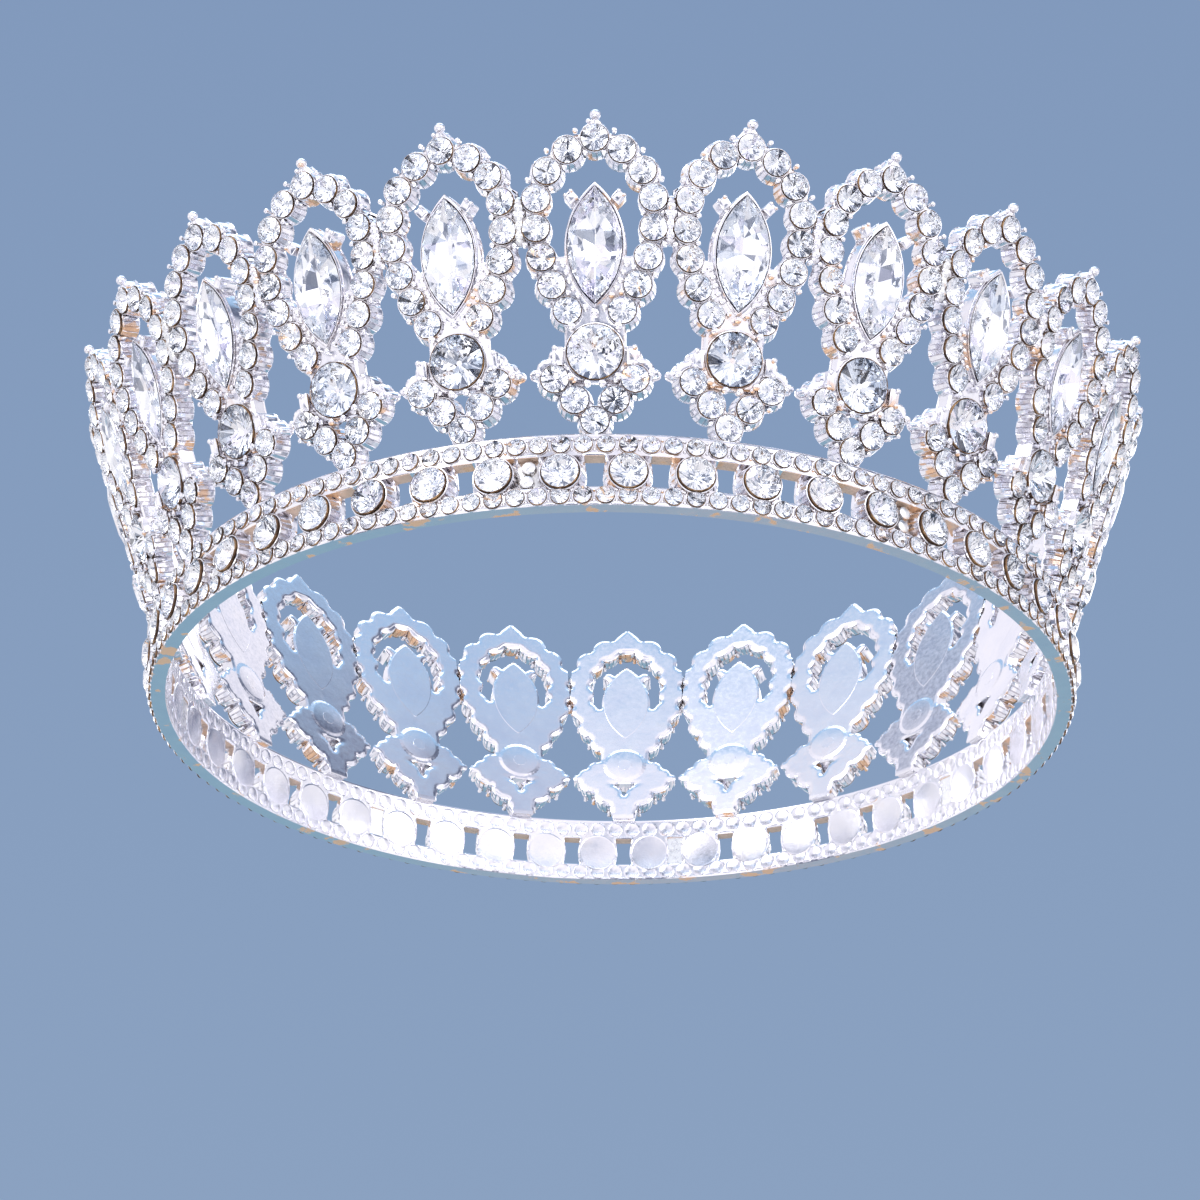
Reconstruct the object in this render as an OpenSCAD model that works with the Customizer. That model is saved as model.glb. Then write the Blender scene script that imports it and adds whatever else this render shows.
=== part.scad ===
// Full-round bridal crown: eight cast segments of three motifs each, soldered
// end to end into a rigid ring and set with crystals in closed cups.
// Millimetres, +Z up, front motif towards -Y, band standing on z = 0.

/* [Ring] */
// outer radius of the band
band_r = 65; // [64:0.5:68]
// wall thickness of the band
band_t = 2.2; // [1.8:0.1:2.6]
// height of the lower stone rail
rail_lo_h = 2.6; // [2.5:0.1:3]
// height of the open slots between the rails
slot_h = 4.4; // [4:0.1:4.8]
// height of the upper stone rail
rail_up_h = 3.1; // [2.9:0.1:3.4]
// width of one slot along the band
slot_w = 2.3; // [1.8:0.1:2.6]

/* [Motif] */
// outward lean of the motifs from upright, degrees
flare = 19; // [15:0.5:22]
// height of the arch's widest point above the band
arch_wide_v = 28.8; // [28:0.2:30]
// half width across the arch stones' centres
arch_half_w = 7.45; // [7.2:0.05:7.5]
// radius of the arch's upper curve
arch_top_r = 9.8; // [9.4:0.1:10.2]
// radius of the arch's lower curve
arch_side_r = 22; // [20:0.5:24]
// height of the large round stone's centre above the band
round_v = 10.6; // [10.4:0.1:10.8]
// height of the marquise stone's centre above the band
marquise_v = 24.4; // [24:0.1:24.8]

/* [Crystals] */
// diameter of the arch and vee stones
small_d = 3.5; // [3.3:0.05:3.55]
// diameter of the large round stone
round_d = 7.1; // [6.8:0.1:7.2]
// diameter of the band's round stones
band_d = 4.7; // [4.4:0.1:4.8]
// diameter of the rail stones
rail_d = 2.3; // [2.1:0.05:2.35]
// length of the marquise stone
marquise_l = 15.2; // [14.6:0.1:15.4]
// width of the marquise stone
marquise_w = 7.0; // [6.4:0.1:7.1]

/* [View] */
// which sub-part to draw

/* [Hidden] */
$fn = 32;

motifs = 24;
per_segment = 3;
segments = motifs / per_segment;
pitch = 360 / motifs;
band_h = rail_lo_h + slot_h + rail_up_h;
girdle_r = band_r - 0.3;               // the plane that the motifs' stones lie in meets the band here

cup_d = small_d + 0.4;                 // outer size of an arch or vee cup
lip = 0.02;                            // a cup's rim ends here, half way up the stone's girdle
web = -0.7;                            // front face of the flat plate, behind the girdle
back = -2.6;                           // back face of the plate
arch_sides = 7;                        // stones down each side of the arch, below the top one
vee_pitch = 3.68;
vee_angle = 46.5;
foot_v = 1.8;

band_cup_z = rail_lo_h + slot_h / 2 - 0.25;
band_cup_out = band_r + 0.55;          // front rim of a band cup
band_cup_in = band_r - band_t - 0.3;   // its round back, a little proud of the inner face
rail_lo_z = rail_lo_h / 2 - 0.02;
rail_up_z = band_h - rail_up_h / 2 - 0.05;
tie_lo = 25;                           // neighbouring arches are tied from here
tie_hi = 30;                           // up to here
small_deep = 1.35;                     // depth of an arch or vee stone below its girdle
round_deep = 2.5;
marquise_deep = 2.0;

metal = [0.86, 0.87, 0.9];
solder = [0.72, 0.72, 0.7];
crystal = [0.8, 0.9, 1.0];

// ---- the arch: an upper and a lower arc, tangent where the arch is widest ----
top_cx = arch_half_w - arch_top_r;
top_a = acos(-top_cx / arch_top_r);                    // angle of the upper arc up to the centre line
arch_top_v = arch_wide_v + arch_top_r * sin(top_a);
top_len = arch_top_r * top_a * PI / 180;
arch_pitch = 3.845;

// centre of stone i, counted down the side from the top stone
function arch_pos(i) = let (s = i * arch_pitch, d = top_len - s)
    d >= 0
        ? let (a = d / arch_top_r * 180 / PI) [top_cx + arch_top_r * cos(a), arch_wide_v + arch_top_r * sin(a)]
        : let (a = -d / arch_side_r * 180 / PI) [arch_half_w - arch_side_r + arch_side_r * cos(a), arch_wide_v - arch_side_r * sin(a)];

function vee_pos(i) = [i * vee_pitch * cos(vee_angle), foot_v + i * vee_pitch * sin(vee_angle)];

// ---- placing ----
module at_motif(k) {
    rotate([0, 0, k * pitch]) translate([0, -girdle_r, band_h]) rotate([90 + flare, 0, 0]) children();
}

module at_band(k, z, r) {
    rotate([0, 0, k * pitch]) translate([0, -r, z]) rotate([90, 0, 0]) children();
}

// ---- stones: a table, a sloping crown, a thin girdle and a foiled cone below ----
module stone(d, depth, crown) {
    r = d / 2;
    rotate_extrude() polygon([[0, -depth], [0.22 * r, -depth], [r, -0.12], [r, 0.12], [0.58 * r, crown], [0, crown]]);
}

// the seat that a stone drops into, touching it round the girdle only
module seat(d, depth, top) {
    r = d / 2;
    rotate_extrude() polygon([[0, -depth - 0.15], [0.3 * r, -depth - 0.15], [r, -0.16], [r, top], [0, top]]);
}

module lens(l, w) {
    r = (l * l + w * w) / (4 * w);
    intersection() {
        translate([r - w / 2, 0]) circle(r, $fn = 96);
        translate([w / 2 - r, 0]) circle(r, $fn = 96);
    }
}

// a pointed-oval stone: two cones crossing above the girdle and two below it
module marquise_stone() {
    w = marquise_w;
    r = (marquise_l * marquise_l + w * w) / (4 * w);
    c = r - w / 2;
    translate([0, marquise_v, 0]) {
        translate([0, 0, -0.12]) linear_extrude(0.24) lens(marquise_l, w);
        translate([0, 0, 0.12]) intersection() {
            translate([c, 0, 0]) cylinder(h = 0.95, r1 = r, r2 = r - 1.3, $fn = 96);
            translate([-c, 0, 0]) cylinder(h = 0.95, r1 = r, r2 = r - 1.3, $fn = 96);
        }
        translate([0, 0, -marquise_deep]) intersection() {
            translate([c, 0, 0]) cylinder(h = marquise_deep - 0.12, r1 = r - 3.1, r2 = r, $fn = 96);
            translate([-c, 0, 0]) cylinder(h = marquise_deep - 0.12, r1 = r - 3.1, r2 = r, $fn = 96);
        }
    }
}

// ---- one motif's casting, drawn flat: x across, y up the motif, z out of its face ----
module arch_strip(hw) {
    pts = [for (i = [-arch_sides : arch_sides]) let (p = arch_pos(abs(i)), s = i < 0 ? -1 : 1) [s * p[0], p[1]]];
    n = len(pts);
    // unit normals of the centre line, from the points either side of each stone
    nrm = [for (i = [0 : n - 1]) let (a = pts[max(i - 1, 0)], b = pts[min(i + 1, n - 1)], l = norm(b - a)) [-(b - a)[1] / l, (b - a)[0] / l]];
    polygon(concat([for (i = [0 : n - 1]) pts[i] + hw * nrm[i]], [for (i = [n - 1 : -1 : 0]) pts[i] - hw * nrm[i]]));
}

module cups_2d() {
    for (i = [-arch_sides : arch_sides]) let (p = arch_pos(abs(i))) translate([i < 0 ? -p[0] : p[0], p[1]]) circle(d = cup_d);
    for (i = [-2 : 2]) let (p = vee_pos(abs(i))) translate([i < 0 ? -p[0] : p[0], p[1]]) circle(d = cup_d);
}

module vee_strip(hw) {
    p = vee_pos(2.6);
    t = [hw * sin(vee_angle), -hw * cos(vee_angle)];
    for (s = [-1, 1])
        polygon([[0, foot_v - hw / cos(vee_angle)], [s * (p[0] + t[0]), p[1] + t[1]],
            [s * (p[0] - t[0]), p[1] - t[1]], [0, foot_v + hw / cos(vee_angle)]]);
}

module plate_2d() {
    arch_strip(1.15);
    cups_2d();
    translate([0, marquise_v]) lens(marquise_l + 1.4, marquise_w + 0.7);
    // metal between the arch's foot and the lower half of the marquise
    polygon([[-6.2, 22.6], [6.2, 22.6], [3.6, 15.4], [3.6, 13], [-3.6, 13], [-3.6, 15.4]]);
    // square seat under the large round stone
    translate([0, round_v]) square(round_d + 0.6, center = true);
    vee_strip(1.1);
    // corners of the vee, nearly meeting their neighbours
    for (s = [-1, 1]) polygon([[s * 3, 8.6], [s * 8.1, 8.3], [s * 8.1, 7.2], [s * 6, 5.6], [s * 3.6, 6]]);
    // foot, sunk into the top of the band
    polygon([[-1.7, -0.8], [1.7, -0.8], [1.7, foot_v], [-1.7, foot_v]]);
}

module motif() {
    difference() {
        union() {
            translate([0, 0, back]) linear_extrude(web - back) plate_2d();
            // raised cup walls
            translate([0, 0, web - 0.3]) linear_extrude(lip - web + 0.3) cups_2d();
            translate([0, marquise_v, web - 0.3]) linear_extrude(0.15 - web + 0.3) lens(marquise_l + 1.2, marquise_w + 0.6);
            translate([0, round_v, back - 0.7]) cylinder(h = 0.05 - back + 0.7, d = round_d + 0.7, $fn = 64);
            // claws at the corners of the large round stone's seat
            for (a = [45 : 90 : 315]) translate([(round_d / 2 + 0.55) * cos(a), round_v + (round_d / 2 + 0.55) * sin(a), web - 0.3])
                cylinder(h = 0.8 - web + 0.3, d = 1.1);
            // lugs at the marquise's shoulders
            for (s = [-1, 1]) translate([s * 2.75, marquise_v + 6.0, back]) rotate([0, 0, -s * 38])
                translate([-0.65, -0.8, 0]) cube([1.3, 1.6, 0.75 - back]);
            // stem and ball at the apex
            translate([0, arch_top_v + 1.6, -0.6]) rotate([-90, 0, 0]) cylinder(h = 1.4, d = 1.1);
            translate([0, arch_top_v + 3.1, -0.6]) sphere(d = 1.5);
        }
        for (i = [-arch_sides : arch_sides]) let (p = arch_pos(abs(i)))
            translate([i < 0 ? -p[0] : p[0], p[1], 0]) seat(small_d, small_deep, 1.5);
        for (i = [-2 : 2]) let (p = vee_pos(abs(i)))
            translate([i < 0 ? -p[0] : p[0], p[1], 0]) seat(small_d, small_deep, 1.5);
        translate([0, round_v, 0]) seat(round_d, round_deep, 1.5);
        translate([0, marquise_v, -marquise_deep - 0.1]) linear_extrude(4) lens(marquise_l, marquise_w);
    }
}

// ---- one segment's share of the band ----
module band(s) {
    a0 = (per_segment * (s - 1) - 0.5) * pitch;
    difference() {
        union() {
            difference() {
                rotate([0, 0, a0 - 90]) rotate_extrude(angle = per_segment * pitch, $fn = 192)
                    translate([band_r - band_t, 0]) square([band_t, band_h]);
                // slots under each motif and between motifs, halved at the segment's ends
                for (j = [0 : 2 * per_segment]) rotate([0, 0, a0 + j * pitch / 2])
                    translate([-slot_w / 2, -band_r - 2, rail_lo_h]) cube([slot_w, 6, slot_h]);
            }
            for (k = [0 : per_segment - 1]) for (h = [-0.25, 0.25])
                at_band(per_segment * (s - 1) + k + h, band_cup_z, band_cup_in)
                    cylinder(h = band_cup_out - band_cup_in, r1 = 3.05, r2 = 2.75);
        }
        for (k = [0 : per_segment - 1]) {
            for (h = [-0.25, 0.25]) at_band(per_segment * (s - 1) + k + h, band_cup_z, band_cup_out) seat(band_d, 1.9, 1);
            for (j = [0 : 5]) for (z = [rail_lo_z, rail_up_z])
                at_band(per_segment * (s - 1) + k + (j - 2.5) / 6, z, band_r - 0.05) seat(rail_d, 0.8, 0.4);
        }
    }
}

// round-ended fillet that ties an arch to the next one, along the boundary k
module tie_bead(k) {
    r = (girdle_r + tie_lo * sin(flare) - 0.6 * cos(flare)) / cos(pitch / 2);
    lean = atan(tan(flare) / cos(pitch / 2));
    len = (tie_hi - tie_lo) * cos(flare) / cos(lean);
    rotate([0, 0, k * pitch]) translate([0, -r, band_h + tie_lo * cos(flare) + 0.6 * sin(flare)]) rotate([lean, 0, 0]) {
        cylinder(h = len, d = 1.5);
        sphere(d = 1.5);
        translate([0, 0, len]) sphere(d = 1.5);
    }
}

module segment(s) {
    k0 = per_segment * (s - 1);
    color(metal) {
        band(s);
        for (k = [0 : per_segment - 1]) at_motif(k0 + k) motif();
        for (k = [0 : per_segment - 2]) tie_bead(k0 + k + 0.5);
    }
}

// ---- solder at the eight joints ----
module band_joint_solder() {
    color(solder) for (s = [1 : segments]) rotate([0, 0, (per_segment * (s - 1) - 0.5) * pitch])
        translate([-slot_w / 2, -band_r + 0.35, rail_lo_h]) cube([slot_w, band_t - 0.6, slot_h]);
}

module arch_tie_solder() {
    color(solder) for (s = [1 : segments]) let (k = per_segment * (s - 1) - 0.5) difference() {
        tie_bead(k);
        for (h = [-0.5, 0.5]) at_motif(k + h) for (i = [3, 4, 5]) let (p = arch_pos(i))
            translate([-2 * h * p[0], p[1], back - 1]) cylinder(h = lip - back + 1, d = cup_d);
    }
}

// ---- crystals ----
module arch_top_stones() {
    color(crystal) for (k = [0 : motifs - 1]) at_motif(k) translate([0, arch_top_v, 0]) stone(small_d, small_deep, 0.5);
}

module arch_side_stones() {
    color(crystal) for (k = [0 : motifs - 1]) at_motif(k) for (i = [1 : arch_sides]) for (s = [-1, 1])
        translate([s * arch_pos(i)[0], arch_pos(i)[1], 0]) stone(small_d, small_deep, 0.5);
}

module marquise_stones() {
    color(crystal) for (k = [0 : motifs - 1]) at_motif(k) marquise_stone();
}

module centre_round_stones() {
    color(crystal) for (k = [0 : motifs - 1]) at_motif(k) translate([0, round_v, 0]) stone(round_d, round_deep, 1.0);
}

module vee_stones(i) {
    for (k = [0 : motifs - 1]) at_motif(k) for (s = [-1, 1])
        translate([s * vee_pos(i)[0], vee_pos(i)[1], 0]) stone(small_d, small_deep, 0.5);
}

module vee_outer_stones() { color(crystal) vee_stones(2); }

module vee_inner_stones() { color(crystal) vee_stones(1); }

module vee_foot_stones() {
    color(crystal) for (k = [0 : motifs - 1]) at_motif(k) translate([0, foot_v, 0]) stone(small_d, small_deep, 0.5);
}

module band_round_stones() {
    color(crystal) for (k = [0 : motifs - 1]) for (h = [-0.25, 0.25])
        at_band(k + h, band_cup_z, band_cup_out) stone(band_d, 1.9, 0.7);
}

module rail_stones(z) {
    for (k = [0 : motifs - 1]) for (j = [0 : 5]) at_band(k + (j - 2.5) / 6, z, band_r - 0.05) stone(rail_d, 0.8, 0.35);
}

module upper_rail_stones() { color(crystal) rail_stones(rail_up_z); }

module lower_rail_stones() { color(crystal) rail_stones(rail_lo_z); }

segment(1);  // segment_1
segment(2);  // segment_2
segment(3);  // segment_3
segment(4);  // segment_4
segment(5);  // segment_5
segment(6);  // segment_6
segment(7);  // segment_7
segment(8);  // segment_8
band_joint_solder();
arch_tie_solder();
arch_top_stones();
arch_side_stones();
marquise_stones();
centre_round_stones();
vee_outer_stones();
vee_inner_stones();
vee_foot_stones();
band_round_stones();
upper_rail_stones();
lower_rail_stones();
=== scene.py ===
"""Looks for the full-round bridal crown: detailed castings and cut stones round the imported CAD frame."""
import math

import bpy
import numpy as np
from mathutils import Matrix, Vector


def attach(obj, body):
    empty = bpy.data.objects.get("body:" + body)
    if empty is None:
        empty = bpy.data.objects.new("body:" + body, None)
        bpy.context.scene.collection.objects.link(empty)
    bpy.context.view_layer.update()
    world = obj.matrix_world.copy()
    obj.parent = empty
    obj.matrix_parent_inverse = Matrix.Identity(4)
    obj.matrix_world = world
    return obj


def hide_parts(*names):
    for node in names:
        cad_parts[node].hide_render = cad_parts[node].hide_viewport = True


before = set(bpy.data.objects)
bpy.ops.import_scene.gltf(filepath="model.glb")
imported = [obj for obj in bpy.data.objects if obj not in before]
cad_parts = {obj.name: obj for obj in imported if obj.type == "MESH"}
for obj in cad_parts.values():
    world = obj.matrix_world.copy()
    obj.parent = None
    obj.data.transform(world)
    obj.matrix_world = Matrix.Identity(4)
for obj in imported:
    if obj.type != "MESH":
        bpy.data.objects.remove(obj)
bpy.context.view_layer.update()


# ---------------------------------------------------------------- sizes, in mm, as the CAD has them
MOTIFS, PER_SEG = 24, 3
PITCH = 360.0 / MOTIFS
BAND_R, BAND_T = 65.0, 2.2
RAIL_LO, SLOT_H, RAIL_UP, SLOT_W = 2.6, 4.4, 3.1, 2.3
BAND_H = RAIL_LO + SLOT_H + RAIL_UP
GIRDLE_R = BAND_R - 0.3
FLARE = 19.0
WIDE_V, HALF_W, TOP_R, SIDE_R, ARCH_P = 28.8, 7.62, 9.8, 22.0, 3.845
ROUND_V, MARQ_V = 10.6, 24.4
SMALL_D, ROUND_D, BAND_D, RAIL_D = 3.5, 7.1, 4.7, 2.3
MARQ_L, MARQ_W = 15.2, 7.0
CUP_D, LIP, WEB, BACK = SMALL_D + 0.4, -0.14, -0.5, -2.6
SIDES, VEE_P, VEE_A, FOOT_V = 7, 3.68, math.radians(46.5), 1.8
CUP_Z = RAIL_LO + SLOT_H / 2 - 0.25
CUP_OUT, CUP_IN = BAND_R + 0.55, BAND_R - BAND_T - 0.3
LO_Z, UP_Z = RAIL_LO / 2 - 0.02, BAND_H - RAIL_UP / 2 - 0.05
TIE_LO, TIE_HI = 25.0, 30.0
EDGE = 0.24  # how far the cast outline stands beyond the upper cups, outside the arch
SKEW = 0.2
PROUD_S, PROUD_B, PROUD_R = 0.04, 0.14, 0.24  # girdles of the small, band and rail stones above their seats' datum

TOP_CX = HALF_W - TOP_R
TOP_A = math.acos(-TOP_CX / TOP_R)
ARCH_TOP_V = WIDE_V + TOP_R * math.sin(TOP_A)
TOP_LEN = TOP_R * TOP_A


def arch_at(s):
    """Point of the arch's right side at arc length s from the top, and its outward direction."""
    d = TOP_LEN - s
    if d >= 0:
        a = d / TOP_R
        return np.array([TOP_CX + TOP_R * math.cos(a), WIDE_V + TOP_R * math.sin(a)]), np.array([math.cos(a), math.sin(a)])
    a = -d / SIDE_R
    return np.array([HALF_W - SIDE_R + SIDE_R * math.cos(a), WIDE_V - SIDE_R * math.sin(a)]), np.array([math.cos(a), -math.sin(a)])


def arch_stones():
    out = []
    for i in range(-SIDES, SIDES + 1):
        (x, y), _ = arch_at(abs(i) * ARCH_P)
        out.append((i, (-x if i < 0 else (0.0 if i == 0 else x)), y))
    return out


def vee_stones():
    out = []
    for i in range(-2, 3):
        x, y = abs(i) * VEE_P * math.cos(VEE_A), FOOT_V + abs(i) * VEE_P * math.sin(VEE_A)
        out.append((i, (-x if i < 0 else x), y))
    return out


# ---------------------------------------------------------------- mesh building
class Part:
    """Vertices with faces of one size each, a material and a smoothness."""

    def __init__(self, v, faces, mat=0, smooth=True, tint=None):
        self.v = np.asarray(v, float).reshape(-1, 3)
        self.faces = [np.asarray(f, int) for f in faces if len(f)]
        self.mat, self.smooth, self.tint = mat, smooth, tint

    def at(self, m):
        m = np.asarray(m, float)
        p = Part.__new__(Part)
        p.v = self.v @ m[:3, :3].T + m[:3, 3]
        p.faces, p.mat, p.smooth, p.tint = self.faces, self.mat, self.smooth, self.tint
        if np.linalg.det(m[:3, :3]) < 0:
            p.faces = [f[:, ::-1] for f in self.faces]
        return p


def moved(parts, m):
    return [p.at(m) for p in parts]


def T(x=0, y=0, z=0):
    m = np.eye(4)
    m[:3, 3] = (x, y, z)
    return m


def R(deg, axis):
    return np.array(Matrix.Rotation(math.radians(deg), 4, axis))


def S(x, y, z):
    return np.diag([x, y, z, 1.0])


def motif_place(k):
    """From a motif's flat drawing to its place round the ring."""
    return R(k * PITCH, "Z") @ T(0, -GIRDLE_R, BAND_H) @ R(90 + FLARE, "X")


def band_place(k, z, r):
    return R(k * PITCH, "Z") @ T(0, -r, z) @ R(90, "X")


def make(name, parts, mats, body="root", scale=1e-3, sharp=34.0, recalc=True):
    nv = sum(len(p.v) for p in parts)
    co = np.empty((nv, 3))
    loops, starts, totals, mi, sm, tint = [], [], [], [], [], []
    n = ls = 0
    any_tint = any(p.tint is not None for p in parts)
    for p in parts:
        co[n : n + len(p.v)] = p.v
        fi = 0
        for f in p.faces:
            k = f.shape[1]
            loops.append((f + n).ravel())
            starts.append(ls + k * np.arange(len(f)))
            totals.append(np.full(len(f), k))
            mi.append(np.full(len(f), p.mat) if np.isscalar(p.mat) else np.asarray(p.mat)[fi : fi + len(f)])
            sm.append(np.full(len(f), p.smooth))
            if any_tint:
                tint.append(p.tint[fi : fi + len(f)] if p.tint is not None else np.ones((len(f), 3)))
            ls += k * len(f)
            fi += len(f)
        n += len(p.v)
    me = bpy.data.meshes.new(name)
    loops, starts, totals = np.concatenate(loops), np.concatenate(starts), np.concatenate(totals)
    me.vertices.add(nv)
    me.vertices.foreach_set("co", (co * scale).astype(np.float32).ravel())
    me.loops.add(len(loops))
    me.loops.foreach_set("vertex_index", loops.astype(np.int32))
    me.polygons.add(len(starts))
    me.polygons.foreach_set("loop_start", starts.astype(np.int32))
    me.polygons.foreach_set("loop_total", totals.astype(np.int32))
    me.polygons.foreach_set("material_index", np.concatenate(mi).astype(np.int32))
    me.polygons.foreach_set("use_smooth", np.concatenate(sm))
    me.update(calc_edges=True)
    if me.validate(verbose=False):
        print("mended", name)
    if recalc:
        import bmesh

        bm = bmesh.new()
        bm.from_mesh(me)
        bmesh.ops.recalc_face_normals(bm, faces=bm.faces)
        bm.to_mesh(me)
        bm.free()
    if any_tint:
        a = me.attributes.new("tint", "FLOAT_COLOR", "FACE")
        t = np.concatenate(tint)
        a.data.foreach_set("color", np.c_[t, np.ones(len(t))].astype(np.float32).ravel())
    if sharp:
        me.set_sharp_from_angle(angle=math.radians(sharp))
    ob = bpy.data.objects.new(name, me)
    for m in mats:
        me.materials.append(m)
    bpy.context.scene.collection.objects.link(ob)
    if body:
        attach(ob, body)
    return ob


def lathe(profile, n, ribs=None, mat=0, smooth=True):
    """Turned solid about +Z. profile is (r, z), from the axis round the outside and back to the axis.
    ribs is (count, depth, first ring, last ring): between those rings the wall carries flat-faced ribs with narrow grooves."""
    if ribs:
        step = 2 * math.pi / ribs[0]
        th = np.concatenate([step * (i + np.array([0.0, 0.66, 0.83])) for i in range(ribs[0])])
        n, cut = len(th), np.resize([0.0, 0.0, ribs[1]], len(th))
    else:
        th = 2 * math.pi * np.arange(n) / n
    v, rings = [], []
    for j, (r, z) in enumerate(profile):
        if r < 1e-9:
            rings.append([len(v)])
            v.append((0, 0, z))
            continue
        rr = np.full(n, float(r))
        if ribs and ribs[2] <= j <= ribs[3]:
            rr = rr - cut
        rings.append(list(range(len(v), len(v) + n)))
        v += list(zip(rr * np.cos(th), rr * np.sin(th), np.full(n, float(z)), strict=True))
    quads, tris = [], []
    for a, b in zip(rings, rings[1:], strict=False):
        if len(a) == 1 and len(b) == 1:
            continue
        for i in range(n):
            j = (i + 1) % n
            if len(a) == 1:
                tris.append((a[0], b[i], b[j]))
            elif len(b) == 1:
                tris.append((a[i], a[j], b[0]))
            else:
                quads.append((a[i], a[j], b[j], b[i]))
    return Part(v, [np.array(quads).reshape(-1, 4), np.array(tris).reshape(-1, 3)], mat, smooth)


def rings_part(rings, mat=0, smooth=True, cap0=True, cap1=True):
    """Skin over closed rings of equal length."""
    n = len(rings[0])
    v = np.concatenate(rings)
    quads = []
    i = np.arange(n)
    j = (i + 1) % n
    for k in range(len(rings) - 1):
        quads.append(np.c_[k * n + i, k * n + j, (k + 1) * n + j, (k + 1) * n + i])
    faces = [np.concatenate(quads)]
    tris = []
    for use, k in ((cap0, 0), (cap1, len(rings) - 1)):
        if use:
            c = len(v)
            v = np.r_[v, [rings[k].mean(axis=0)]]
            tris.append(np.c_[np.full(n, c), k * n + i, k * n + j] if k else np.c_[np.full(n, c), k * n + j, k * n + i])
    if tris:
        faces.append(np.concatenate(tris))
    return Part(v, faces, mat, smooth)


def lens_ring(l, w, n, z=0.0):
    """Pointed oval of length l along Y and width w, n points, tips kept."""
    r = (l * l + w * w) / (4 * w)
    half = math.asin(min(1.0, (l / 2) / r))
    h = n // 2
    a = -half + 2 * half * np.arange(h) / h
    right = np.c_[r * np.cos(a) - (r - w / 2), r * np.sin(a)]
    left = -right
    p = np.r_[right, left]
    return np.c_[p, np.full(n, float(z))]


def ball(r, x, y, z, n=12, mat=0, squash=1.0):
    prof = [(r * math.sin(t), -r * math.cos(t) * squash) for t in np.linspace(0, math.pi, 8)]
    prof[0] = (0, -r * squash)
    prof[-1] = (0, r * squash)
    return lathe(prof, n, mat=mat).at(T(x, y, z))


def claw(r, z0, z1, x, y, n=10, bulge=1.12):
    """Small round post with a rounded, slightly swollen head."""
    prof = [(0, z0), (r * 0.95, z0), (r, z0 + 0.1), (r * 0.95, z1 - 1.5 * r), (r * bulge, z1 - 0.8 * r), (r * bulge * 0.92, z1 - 0.35 * r), (r * 0.6, z1 - 0.07 * r), (0, z1)]
    return lathe(prof, n).at(T(x, y, 0))


def rounded_box(sx, sy, z0, z1, r=0.18):
    """Box with softened vertical edges and a softened top."""
    def ring(o, z):
        x, y, c = sx / 2 - o, sy / 2 - o, max(r - o, 0.04)
        pts = []
        for cx, cy, a0 in ((x - c, y - c, 0), (-x + c, y - c, 90), (-x + c, -y + c, 180), (x - c, -y + c, 270)):
            for t in (0, 45, 90):
                a = math.radians(a0 + t)
                pts.append((cx + c * math.cos(a), cy + c * math.sin(a), z))
        return np.array(pts)

    e = 0.14
    return rings_part([ring(0.05, z0), ring(0, z0 + 0.05), ring(0, z1 - e), ring(0.04, z1 - 0.05), ring(e, z1)])


# ---------------------------------------------------------------- flat plates from a smooth outline
def sd_circle(p, c, r):
    return np.hypot(p[..., 0] - c[0], p[..., 1] - c[1]) - r


def sd_seg(p, a, b, r):
    a, b = np.asarray(a, float), np.asarray(b, float)
    pa, ba = p - a, b - a
    h = np.clip((pa @ ba) / (ba @ ba), 0, 1)
    return np.linalg.norm(pa - h[..., None] * ba, axis=-1) - r


def sd_lens(p, c, l, w):
    r = (l * l + w * w) / (4 * w)
    d = r - w / 2
    q = p - np.asarray(c, float)
    return np.maximum(np.hypot(q[..., 0] - d, q[..., 1]), np.hypot(q[..., 0] + d, q[..., 1])) - r


def sd_poly(p, pts):
    pts = np.asarray(pts, float)
    d = np.full(p.shape[:-1], 1e9)
    inside = np.zeros(p.shape[:-1], bool)
    for a, b in zip(pts, np.roll(pts, -1, axis=0), strict=True):
        ba, pa = b - a, p - a
        h = np.clip((pa @ ba) / (ba @ ba), 0, 1)
        d = np.minimum(d, np.linalg.norm(pa - h[..., None] * ba, axis=-1))
        cond = (a[1] > p[..., 1]) != (b[1] > p[..., 1])
        with np.errstate(divide="ignore", invalid="ignore"):
            xi = (b[0] - a[0]) * (p[..., 1] - a[1]) / (b[1] - a[1]) + a[0]
        inside ^= cond & (p[..., 0] < xi)
    return np.where(inside, -d, d)


def smin(a, b, k):
    h = np.clip(0.5 + 0.5 * (b - a) / k, 0, 1)
    return b * (1 - h) + a * h - k * h * (1 - h)


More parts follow.
